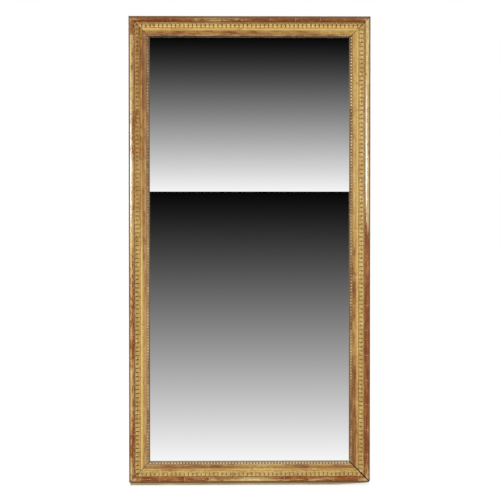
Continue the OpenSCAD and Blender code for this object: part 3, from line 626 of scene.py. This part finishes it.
def shapePearlBed(side, seed):
    def shapeIt(along, inward, forward):
        place = placeOf(side, toWorld(side, along, inward, forward))
        top = hollow["lip"] + pearls["bed"]
        clog = byPlace(pearls["clogged"][side], place) * smooth(forward, top - pearls["bevelHeight"], top)
        # the sloping sight edge is marked for painted shade
        shade, back = pearls["lostEdge"][side]
        slant = runWidth - pearls["bevelWidth"] - back
        slant = smooth(inward, slant, slant + pearls["bedEdge"])
        deep = byPlace(pearls["bedDirt"][side], place) * (1 - slant)
        return inward, forward + clog, {"deep": deep, "bevel": shade * slant}
    return shapeIt


def pearlShell():
    rings, spokes = pearls["rings"], pearls["spokes"]
    radius, sink = pearls["diameter"] / 2, pearls["sink"]
    last = math.acos(-(radius - sink) / radius) + 0.1  # just under the bed
    points = [(0, 0, radius)]
    for i in range(1, rings + 1):
        t = last * i / rings
        out, up = radius * math.sin(t), radius * math.cos(t)
        turns = [2 * math.pi * j / spokes for j in range(spokes)]
        points += [(out * math.cos(a), out * math.sin(a), up) for a in turns]
    faces = [(0, 1 + j, 1 + (j + 1) % spokes) for j in range(spokes)]
    for i in range(rings - 1):
        a, b = 1 + i * spokes, 1 + (i + 1) * spokes
        faces += [(a + j, b + j, b + (j + 1) % spokes, a + (j + 1) % spokes) for j in range(spokes)]
    faces.append(tuple(1 + (rings - 1) * spokes + j for j in reversed(range(spokes))))
    return np.array(points), faces


def addPearls(side, seed, points, faces, fields, run):
    middle = hollowEnd + (pearls["stripWidth"] - pearls["bevelWidth"]) / 2
    length = sideLength(side) - 2 * middle - pearls["diameter"]
    count = int(length // pearls["pitch"])
    pitch = length / count
    shell, shellFaces = pearlShell()
    draw = np.random.default_rng(seed)
    base = hollow["lip"] + pearls["bed"] + pearls["diameter"] / 2 - pearls["sink"]
    allPoints, allRun = [points], [run.reshape(-1, 3)]
    grown = {key: [np.broadcast_to(value, run.shape[:-1]).ravel()] for key, value in fields.items()}
    offset = len(points)
    for i in range(count):
        size = draw.uniform(pearls["smallest"], 1.0, 3)
        along = (i - (count - 1) / 2) * pitch + draw.uniform(-pearls["drift"], pearls["drift"])
        local = shell * size
        s, u, v = along + local[:, 0], middle + local[:, 1], base + local[:, 2] - (1 - size[2])
        world = toWorld(side, s, u, v)
        allPoints.append(world)
        allRun.append(np.stack([s, u, v], -1) * mm)
        faces += [tuple(offset + k for k in face) for face in shellFaces]
        offset += len(shell)
        place, crest = placeOf(side, world), smooth(v, base, base + pearls["crest"])
        low = smooth(v - base, *pearls["footDirt"])
        own = {"place": place, "end": endOf(side, s, u), "proud": crest,
               "kept": crest * byPlace(pearls["keptCrests"][side], place),
               "deep": low * byPlace(pearls["bedDirt"][side], place),
               "dusty": 0 * s + pearls["dust"].get(side, 0)}
        for key, values in grown.items():
            values.append(own.get(key, 0 * s))
    return (np.concatenate(allPoints), faces, {key: np.concatenate(value) for key, value in grown.items()},
            np.concatenate(allRun))


members = {  # the shape of each run, and the distance between its rings of points in mm
    "torus": (torusOutline, shapeTorus, 5.0),
    "leaf": (leafOutline, shapeLeaves, 0.72),
    "hollow": (hollowOutline, shapeHollow, 5.0),
    "pearl": (pearlOutline, shapePearlBed, 8.0),
}
for row, (member, (outline, shape, step)) in enumerate(members.items()):
    for column, side in enumerate(sides):
        seed = 10 * row + column + 1
        form = sweepRun(side, outline(side), step, shape(side, seed))
        if member == "pearl":
            form = addPearls(side, seed, *form)
        piece = newRun(f"{member}Run{side.capitalize()}", *form)
        paint(piece, makeGilding(member, side, seed))
        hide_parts(f"{member}_moulding_{side}")
        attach(piece, "frame")
print("mouldings made")


def nearEdge(node, where, depth):  # 1 within depth mm of the gilded edge, else 0
    near = 0
    for out, middle, size in (("X", 0, frameSize["width"]), ("Z", frameMiddle, frameSize["height"])):
        off = node("SeparateXYZ", [where], out=out)
        off = node("Math", [off, middle * mm], operation="SUBTRACT")
        off = node("Math", [off], operation="ABSOLUTE")
        past = node("Math", [off, (size / 2 - depth) * mm], operation="GREATER_THAN")
        near = node("Math", [near, past], operation="MAXIMUM")
    return near


# Polished plate glass, silvered on the back: a plain sharp mirror. Under the lip of the mouldings the
# silver has gone, and the bare glass looks dark.
plate = {"silver": "#ECECEC", "lostSilver": "#15130F", "lip": 1.5}


def makeMirror():
    material, node = newMaterial("silveredPlateGlass")
    lost = nearEdge(node, node("TexCoord", out="Object"), runWidth - plate["lip"])
    colour = node("Mix", {"Factor": lost, "A": plate["silver"], "B": plate["lostSilver"]}, **inColour)
    shader = node("BsdfPrincipled", {"Base Color": colour, "Metallic": 1.0, "Roughness": 0.0})
    node("OutputMaterial", [shader])
    return material


# Old pine, planed or sawn and left bare: long soft bands of early and late wood, with fibres in them, that
# take stain unevenly. The pegs are cleft oak, darker and closer in the grain.
woods = {
    "carcassPine": {"axis": "z", "light": "#A98358", "dark": "#6E4B2C", "ring": 9, "rough": 0.62},
    "railPine": {"axis": "x", "light": "#A98358", "dark": "#6E4B2C", "ring": 9, "rough": 0.62},
    "boardPine": {"axis": "x", "light": "#B08D63", "dark": "#7A5735", "ring": 12, "rough": 0.7},
    "blockPine": {"axis": "x", "light": "#B5946A", "dark": "#86643F", "ring": 6, "rough": 0.75},
    "pegOak": {"axis": "y", "light": "#6F4E30", "dark": "#46301C", "ring": 2.5, "rough": 0.6},
    "barePineStrip": {"axis": "x", "light": "#E2D9BC", "dark": "#BDB08C", "ring": 5, "rough": 0.8},
}
grainLook = {
    "length": 22, "fibres": 7, "fibreShare": 0.35,   # bands 22 times as long as wide, with 7 fibres to a band
    "bands": (0.45, 0.9), "waviness": 0.6, "bump": 0.4, "relief": 0.6, "roughnessSwing": 0.1,
    "stainsPerMetre": 9.0, "stained": (0.3, 0.7), "stainTones": (0.72, 1.1),
}
boards = {"foot": 56.5, "height": 180.125, "palest": 1.16, "darkest": 0.7, "draw": 0.31, "apart": 7.3}
knots = {"apart": (260, 88), "radius": 0.1, "colour": "#3A2414", "show": 0.8, "bend": 1.1,
         "wearers": ("boardPine", "carcassPine")}
wash = {"colour": "#A8772F", "depth": 4, "facing": (0.5, 0.2),   # ochre, on the outer edges alone
        "stained": (0.3, 0.5), "stainTones": (0.55, 0.95), "wearers": ("carcassPine", "railPine")}
ochreRun = {"colour": "#A37F48", "reach": 4.1, "fade": 1.6}  # painted shadow, with dirt, along the top of the bare strip under the bottom moulding, in mm


def makeWood(name):
    look = woods[name]
    material, node = newMaterial(name)
    where = node("TexCoord", out="Object")
    stretch = [metre / look["ring"]] * 3
    stretch["xyz".index(look["axis"])] /= grainLook["length"]
    ownTone = 1.0
    if name == "boardPine":  # each board is its own plank
        z = node("SeparateXYZ", [where], out="Z")
        z = node("Math", [z, boards["foot"] * mm], operation="SUBTRACT")
        board = node("Math", [z, boards["height"] * mm], operation="SNAP")
        draw = node("Math", [board, boards["draw"]], operation="ADD")
        draw = node("TexWhiteNoise", {"W": draw}, out="Value", noise_dimensions="1D")
        ownTone = node("MapRange", [draw, 0, 1, boards["darkest"], boards["palest"]])
        shift = node("Math", [board, boards["apart"]], operation="MULTIPLY")
        shift = node("CombineXYZ", [shift, draw])
        where = node("VectorMath", [where, shift], operation="ADD")
    grain = node("VectorMath", [where, stretch], operation="MULTIPLY")
    knot = 0.0
    if name in knots["wearers"]:  # a few knots, with the grain bent round them
        long, wide = knots["apart"]
        sizes = [metre / wide] * 3
        sizes["xyz".index(look["axis"])] = metre / long
        cells = node("VectorMath", [where, sizes], operation="MULTIPLY")
        near = node("TexVoronoi", {"Vector": cells, "Scale": 1.0}, out="Distance")
        radius = knots["radius"]
        knot = node("MapRange", [near, radius, radius / 3], **smoothly)
        bend = node("MapRange", [near, 4 * radius, 0, 0, knots["bend"]], **smoothly)
        bend = node("CombineXYZ", [bend] * 3)
        grain = node("VectorMath", [grain, bend], operation="ADD")
    waviness = grainLook["waviness"]
    rings = node("TexNoise", {"Vector": grain, "Scale": 1.0, "Detail": 4.0, "Distortion": waviness})
    fibres = node("VectorMath", [grain, [grainLook["fibres"]] * 3], operation="MULTIPLY")
    fine = node("TexNoise", {"Vector": fibres, "Scale": 1.0, "Detail": 2.0})
    stain = node("TexNoise", {"Vector": where, "Scale": grainLook["stainsPerMetre"], "Detail": 3.0})
    bands = node("Math", [fine, grainLook["fibreShare"], rings], operation="MULTIPLY_ADD")
    bands = node("MapRange", [bands, *grainLook["bands"]])
    colour = node("Mix", {"Factor": bands, "A": look["light"], "B": look["dark"]}, **inColour)
    knot = node("Math", [knot, knots["show"]], operation="MULTIPLY")
    colour = node("Mix", {"Factor": knot, "A": colour, "B": knots["colour"]}, **inColour)
    shade = node("MapRange", [stain, *grainLook["stained"], *grainLook["stainTones"]])
    shade = node("Math", [shade, ownTone], operation="MULTIPLY")
    colour = node("VectorMath", [colour, shade], operation="MULTIPLY")
    if name in wash["wearers"]:
        facing = node("SeparateXYZ", {"Vector": node("NewGeometry", out="Normal")}, out="Y")
        facing = node("Math", [facing], operation="ABSOLUTE")
        washed = node("MapRange", [facing, *wash["facing"]])
        uneven = node("MapRange", [stain, *wash["stained"], *wash["stainTones"]])
        for share in (nearEdge(node, where, wash["depth"]), uneven):
            washed = node("Math", [washed, share], operation="MULTIPLY")
        colour = node("Mix", {"Factor": washed, "A": colour, "B": wash["colour"]}, **inColour)
    # the top of the bare strip is darkened under the bottom moulding: painted shadow, with dirt
    if name == "barePineStrip":
        height = node("SeparateXYZ", [where], out="Z")
        runEnd = frameSize["baseHeight"] - ochreRun["reach"]
        run = node("MapRange", [height, runEnd * mm, (runEnd + ochreRun["fade"]) * mm])
        colour = node("Mix", {"Factor": run, "A": colour, "B": ochreRun["colour"]}, **inColour)
    relief = grainLook["relief"] * mm
    bump = node("Bump", {"Height": bands, "Strength": grainLook["bump"], "Distance": relief})
    rough, swing = look["rough"], grainLook["roughnessSwing"]
    rough = node("MapRange", [fine, 0, 1, rough - swing, rough + swing])
    shader = node("BsdfPrincipled", {"Base Color": colour, "Roughness": rough, "Normal": bump})
    node("OutputMaterial", [shader])
    return material


# Hand-forged iron: nearly black scale with dull hammer facets and a bloom of rust.
iron = {"scale": "#3B3430", "rust": "#6B3E25", "hammerMark": 6, "rustSpot": 9, "rustFrom": (0.48, 0.62),
        "metal": (0.9, 0.15), "rough": (0.48, 0.85), "spotRelief": 0.5, "bump": 0.5, "relief": 0.4}


def makeIron():
    material, node = newMaterial("handForgedIron")
    where = node("TexCoord", out="Object")
    facets = node("TexVoronoi", {"Vector": where, "Scale": metre / iron["hammerMark"]}, feature="SMOOTH_F1")
    spots = node("TexNoise", {"Vector": where, "Scale": metre / iron["rustSpot"], "Detail": 5.0})
    rust = node("MapRange", [spots, *iron["rustFrom"]])
    colour = node("Mix", {"Factor": rust, "A": iron["scale"], "B": iron["rust"]}, **inColour)
    metal, rough = [node("MapRange", [rust, 0, 1, *iron[look]]) for look in ("metal", "rough")]
    height = node("Math", [spots, iron["spotRelief"], facets], operation="MULTIPLY_ADD")
    bump = node("Bump", {"Height": height, "Strength": iron["bump"], "Distance": iron["relief"] * mm})
    shader = node("BsdfPrincipled", {
        "Base Color": colour, "Metallic": metal, "Roughness": rough, "Normal": bump})
    node("OutputMaterial", [shader])
    return material


finishes = {name: makeWood(name) for name in woods}
finishes["mirror"] = makeMirror()
finishes["iron"] = makeIron()
wearers = {
    "carcassPine": ["carcass_left", "carcass_right"],
    "railPine": ["carcass_top", "carcass_bottom"],
    "boardPine": [name for name in nodes if name.startswith("backboard_") and name != "backboard_nails"],
    "blockPine": ["glazing_blocks"],
    "pegOak": ["corner_pegs"],
    "barePineStrip": ["base_strip"],
    "mirror": ["upper_mirror_plate", "lower_mirror_plate"],
    "iron": ["backboard_nails", "base_nails", "hanger_screws", "hanger_strap_left", "hanger_strap_right",
             "hanger_ring_left", "hanger_ring_right"],
}
for finish, names in wearers.items():
    for name in names:
        paint(nodes[name], finishes[finish])
print("finishes made")


studio = {
    "distance": 6.0, "azimuth": -1.1, "elevation": 1.3, "aim": (0.0013, -0.03, 0.776), "fieldWidth": 1.65,
    "sensor": 36, "seesTo": 100,
    "room": 0.9,            # how bright the white room is for what isn't shiny
    "fromBelow": 0.26,      # how much brighter the room is below than level with the eye
    "softboxes": [((-3.2, -5.1, 1.14), 72), ((3.5, -5.0, 1.19), 10)], "softboxSize": (2.9, 0.36),
    "plateEdges": {"top": 1.476, "joint": 0.9685, "bottom": 0.0785},   # heights in metres
    "cardDark": 0.06, "cardLight": 0.965, "cardCurve": 2.2, "cardGain": 1.18, "flattest": 0.15,
    "aboveCard": (0.03, 0.9), "belowCard": (-0.02, -0.6), "farFloor": 0.22,   # where the card ends, as slopes
    "floor": "#A0A0A0", "floorGlow": 0.78, "floorReach": 30, "floorDrop": 0.5,
}


def aimAt(thing, target):
    thing.rotation_euler = (Vector(target) - thing.location).to_track_quat("-Z", "Y").to_euler()


bpy.context.scene.view_settings.view_transform = "Standard"
camera = addObject("camera", bpy.data.cameras.new("camera"))
bpy.context.scene.camera = camera
a, e = math.radians(studio["azimuth"]), math.radians(studio["elevation"])
back = Vector((math.sin(a) * math.cos(e), -math.cos(a) * math.cos(e), math.sin(e)))
camera.location = Vector(studio["aim"]) + back * studio["distance"]
aimAt(camera, studio["aim"])
camera.data.sensor_width = studio["sensor"]
camera.data.lens = studio["sensor"] * studio["distance"] / studio["fieldWidth"]
camera.data.clip_end = studio["seesTo"]

lit = bpy.data.collections.new("lit")  # all but the plates, which would show the lamps from the side
for name in wearers["mirror"]:
    lit.objects.link(nodes[name])
for excluded in lit.collection_objects:
    excluded.light_linking.link_state = "EXCLUDE"
for place, power in studio["softboxes"]:
    softbox = addObject("softbox", bpy.data.lights.new("softbox", "AREA"))
    softbox.data.shape = "RECTANGLE"
    softbox.data.size, softbox.data.size_y = studio["softboxSize"]
    softbox.data.energy = power
    softbox.location = place
    softbox.light_linking.receiver_collection = lit
    aimAt(softbox, studio["aim"])

# The plates face a graded card, dark to pale from the top down for each plate. It is set by the slope
# of the reflected ray, so it lies straight across the plates. Above it is the plain room, and below it
# the floor, darker far from the lamps.
world = bpy.data.worlds.new("studio")
bpy.context.scene.world = world
world.use_nodes = True
world.cycles.sampling_method = "NONE"
world.node_tree.nodes.clear()
node = partial(addNode, world.node_tree)
ray = node("TexCoord", out="Generated")
rise = node("SeparateXYZ", [ray], out="Z")
forth = node("Math", [node("SeparateXYZ", [ray], out="Y")], operation="ABSOLUTE")
forth = node("Math", [forth, studio["flattest"]], operation="MAXIMUM")
slope = node("Math", [rise, forth], operation="DIVIDE")
plateDistance = abs(camera.location.y + frameSize["carcassDepth"] * mm)
edge = {key: (z - camera.location.z) / plateDistance for key, z in studio["plateEdges"].items()}
upper, lower = [node("MapRange", [slope, edge[foot], edge[head], studio["cardLight"], studio["cardDark"]])
                for foot, head in (("joint", "top"), ("bottom", "joint"))]
above = node("Math", [slope, edge["joint"]], operation="GREATER_THAN")
card = node("Mix", {"Factor": above, "A": lower, "B": upper})
card = node("Math", [card, studio["cardCurve"]], operation="POWER")
for end, (past, far), beyond in (("top", studio["aboveCard"], studio["room"]),
                                 ("bottom", studio["belowCard"], studio["farFloor"])):
    fade = node("MapRange", [slope, edge[end] + past, far], **smoothly)
    card = node("Mix", {"Factor": fade, "A": card, "B": beyond})
card = node("Math", [card, studio["cardGain"]], operation="MULTIPLY")
level = studio["room"]
for rays, seen in (("Glossy", 1.0), ("Transmission", 1.0), ("Singular", card), ("Camera", 1.0)):
    which = node("LightPath", out=f"Is {rays} Ray")
    level = node("Mix", {"Factor": which, "A": level, "B": seen})
plain = node("Math", [node("LightPath", out=f"Is {rays} Ray") for rays in ("Camera", "Singular")],
             operation="MAXIMUM")
tilt = node("Mix", {"Factor": plain, "A": studio["fromBelow"], "B": 0.0})
tilt = node("Math", [rise, tilt], operation="MULTIPLY")
tilt = node("Math", [1.0, tilt], operation="SUBTRACT")
level = node("Math", [level, tilt], operation="MULTIPLY")
room = node("Background", {"Color": "#FFFFFF", "Strength": level})
node("OutputWorld", [room])

# A plain white floor that keeps a faint shadow.
floorMesh = bpy.data.meshes.new("floor")
reach, drop = studio["floorReach"], studio["floorDrop"] * mm
floorMesh.from_pydata([(x * reach, y * reach, -drop) for x, y in ((-1, -1), (1, -1), (1, 1), (-1, 1))], [],
                      [(0, 1, 2, 3)])
floor = addObject("floor", floorMesh)
floorMaterial, node = newMaterial("whitePaper")
paper = node("BsdfDiffuse", {"Color": studio["floor"]})
glow = node("Math", [node("LightPath", out="Is Camera Ray"), studio["floorGlow"]], operation="MULTIPLY")
glow = node("Emission", {"Strength": glow})
node("OutputMaterial", [node("AddShader", [paper, glow])])
floorMesh.materials.append(floorMaterial)
floor.visible_glossy = False
print("studio made")
